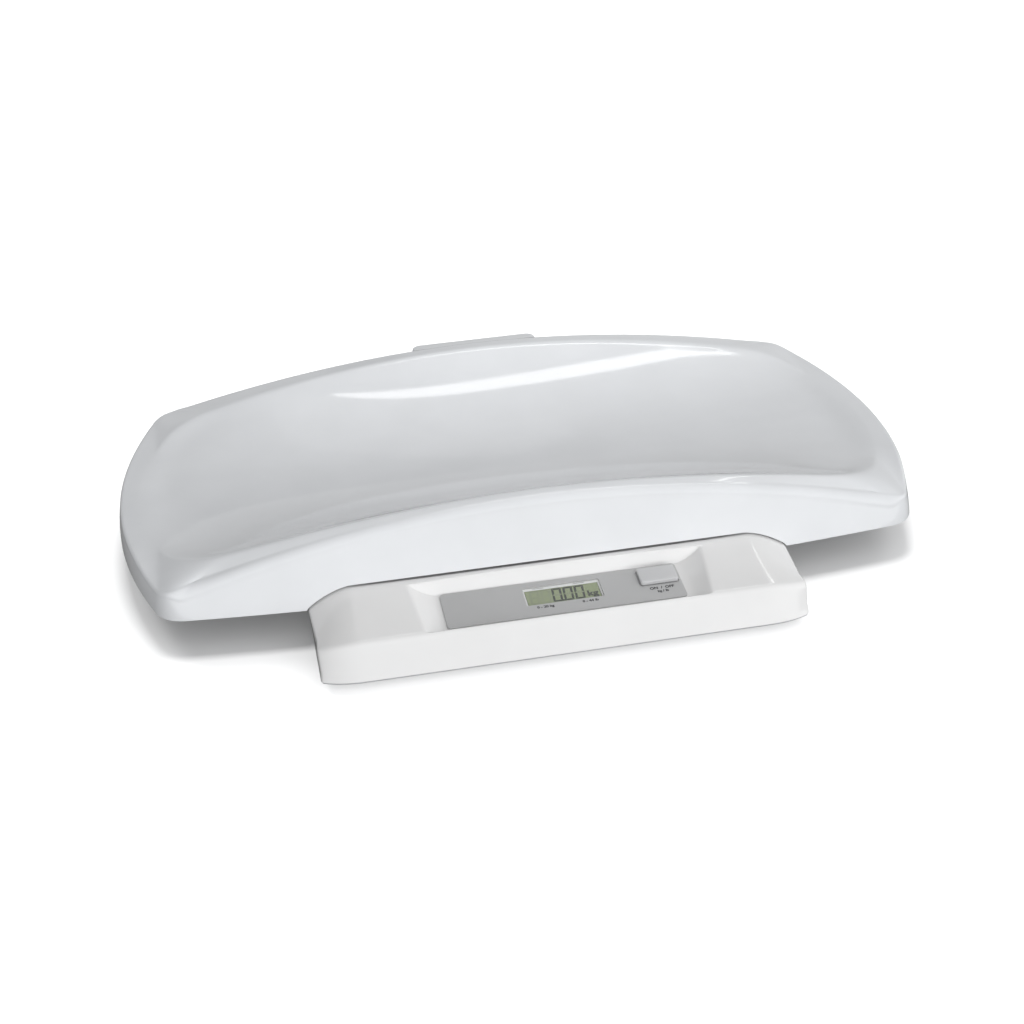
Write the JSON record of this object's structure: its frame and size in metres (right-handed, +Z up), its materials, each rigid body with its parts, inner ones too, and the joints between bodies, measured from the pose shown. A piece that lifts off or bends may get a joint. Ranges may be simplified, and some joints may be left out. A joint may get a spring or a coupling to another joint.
{
  "type": "digital baby weighing scale",
  "caption": "Digital baby scale: a long saddle-shaped white tray that lifts off a low base with a front console, display window, press key and battery door.",
  "frame": {"origin": "bottom centre of the bounding box: on the surface under the feet, midway along X and Y", "axes": "+X along the tray, to the right of someone reading the display; +Y away from the display, to the rear; +Z up"},
  "size_m": [0.5636, 0.3684, 0.0807],
  "materials": {
    "gloss_white": "glossy moulded ABS",
    "pan_white": "fine spark-eroded texture",
    "label_silver": "silver-grey printed film with a satin face",
    "key_silver": "silver-painted plastic, satin",
    "clear_acrylic": "clear polished acrylic",
    "lcd_green": "reflective liquid crystal glass, olive green",
    "frame_white": "plain moulded white",
    "rubber_dark": "matt black elastomer",
    "rubber_grey": "matt grey elastomer",
    "board_green": "solder mask on glass-fibre laminate",
    "black_plastic": "plain moulded black",
    "steel": "zinc-plated steel",
    "nickel": "nickel-plated spring steel",
    "cell_jacket": "plain shrink sleeve, no print",
    "lead_grey": "flexible PVC sleeve"
  },
  "bodies": {
    "base": {"base_top_cover": "gloss_white", "base_bottom_pan": "pan_white", "foot_cup_front_left": "pan_white", "foot_cup_front_right": "pan_white", "foot_cup_rear_left": "pan_white", "foot_cup_rear_right": "pan_white", "panel_label": "label_silver", "display_window": "clear_acrylic", "lcd_module": "lcd_green", "lcd_frame": "frame_white", "board_connector": "frame_white", "zebra_strip_front": "rubber_dark", "zebra_strip_rear": "rubber_dark", "foot_pad_front_left": "rubber_dark", "foot_pad_front_right": "rubber_dark", "foot_pad_rear_left": "rubber_dark", "foot_pad_rear_right": "rubber_dark", "tray_ring_front_left": "rubber_grey", "tray_ring_front_right": "rubber_grey", "tray_ring_rear_left": "rubber_grey", "tray_ring_rear_right": "rubber_grey", "circuit_board": "board_green", "battery_holder": "black_plastic", "key_switch": "black_plastic", "load_cell_front_left": "steel", "load_cell_front_right": "steel", "load_cell_rear_left": "steel", "load_cell_rear_right": "steel", "pan_screw_1": "steel", "pan_screw_2": "steel", "pan_screw_3": "steel", "pan_screw_4": "steel", "pan_screw_5": "steel", "pan_screw_6": "steel", "board_screw_1": "steel", "board_screw_2": "steel", "board_screw_3": "steel", "board_screw_4": "steel", "contact_strip_front": "nickel", "contact_strip_rear": "nickel", "battery_spring_1": "nickel", "battery_spring_2": "nickel", "battery_spring_3": "nickel", "battery_spring_4": "nickel", "battery_1": "cell_jacket", "battery_2": "cell_jacket", "battery_3": "cell_jacket", "battery_4": "cell_jacket", "lead_front_left": "lead_grey", "lead_rear_left": "lead_grey", "lead_battery": "lead_grey", "lead_rear_right": "lead_grey", "lead_front_right": "lead_grey"},
    "tray": {"tray_shell": "gloss_white", "rear_grip": "gloss_white"},
    "control_key": {"control_key": "key_silver", "key_plunger": "black_plastic"},
    "battery_door": {"battery_door": "pan_white"}
  },
  "joints": [
    {"name": "tray_lift", "type": "slide", "parent": "base", "child": "tray", "axis": [0, 0, 1], "range_m": [0, 0.12]},
    {"name": "key_press", "type": "slide", "parent": "base", "child": "control_key", "axis": [0, 0.1305, -0.9914], "range_m": [0, 0.0008], "stiffness_N_per_m": 400, "springref_m": -0.001},
    {"name": "door_slide", "type": "slide", "parent": "base", "child": "battery_door", "axis": [0, 1, 0], "range_m": [0, 0.074]}
  ]
}
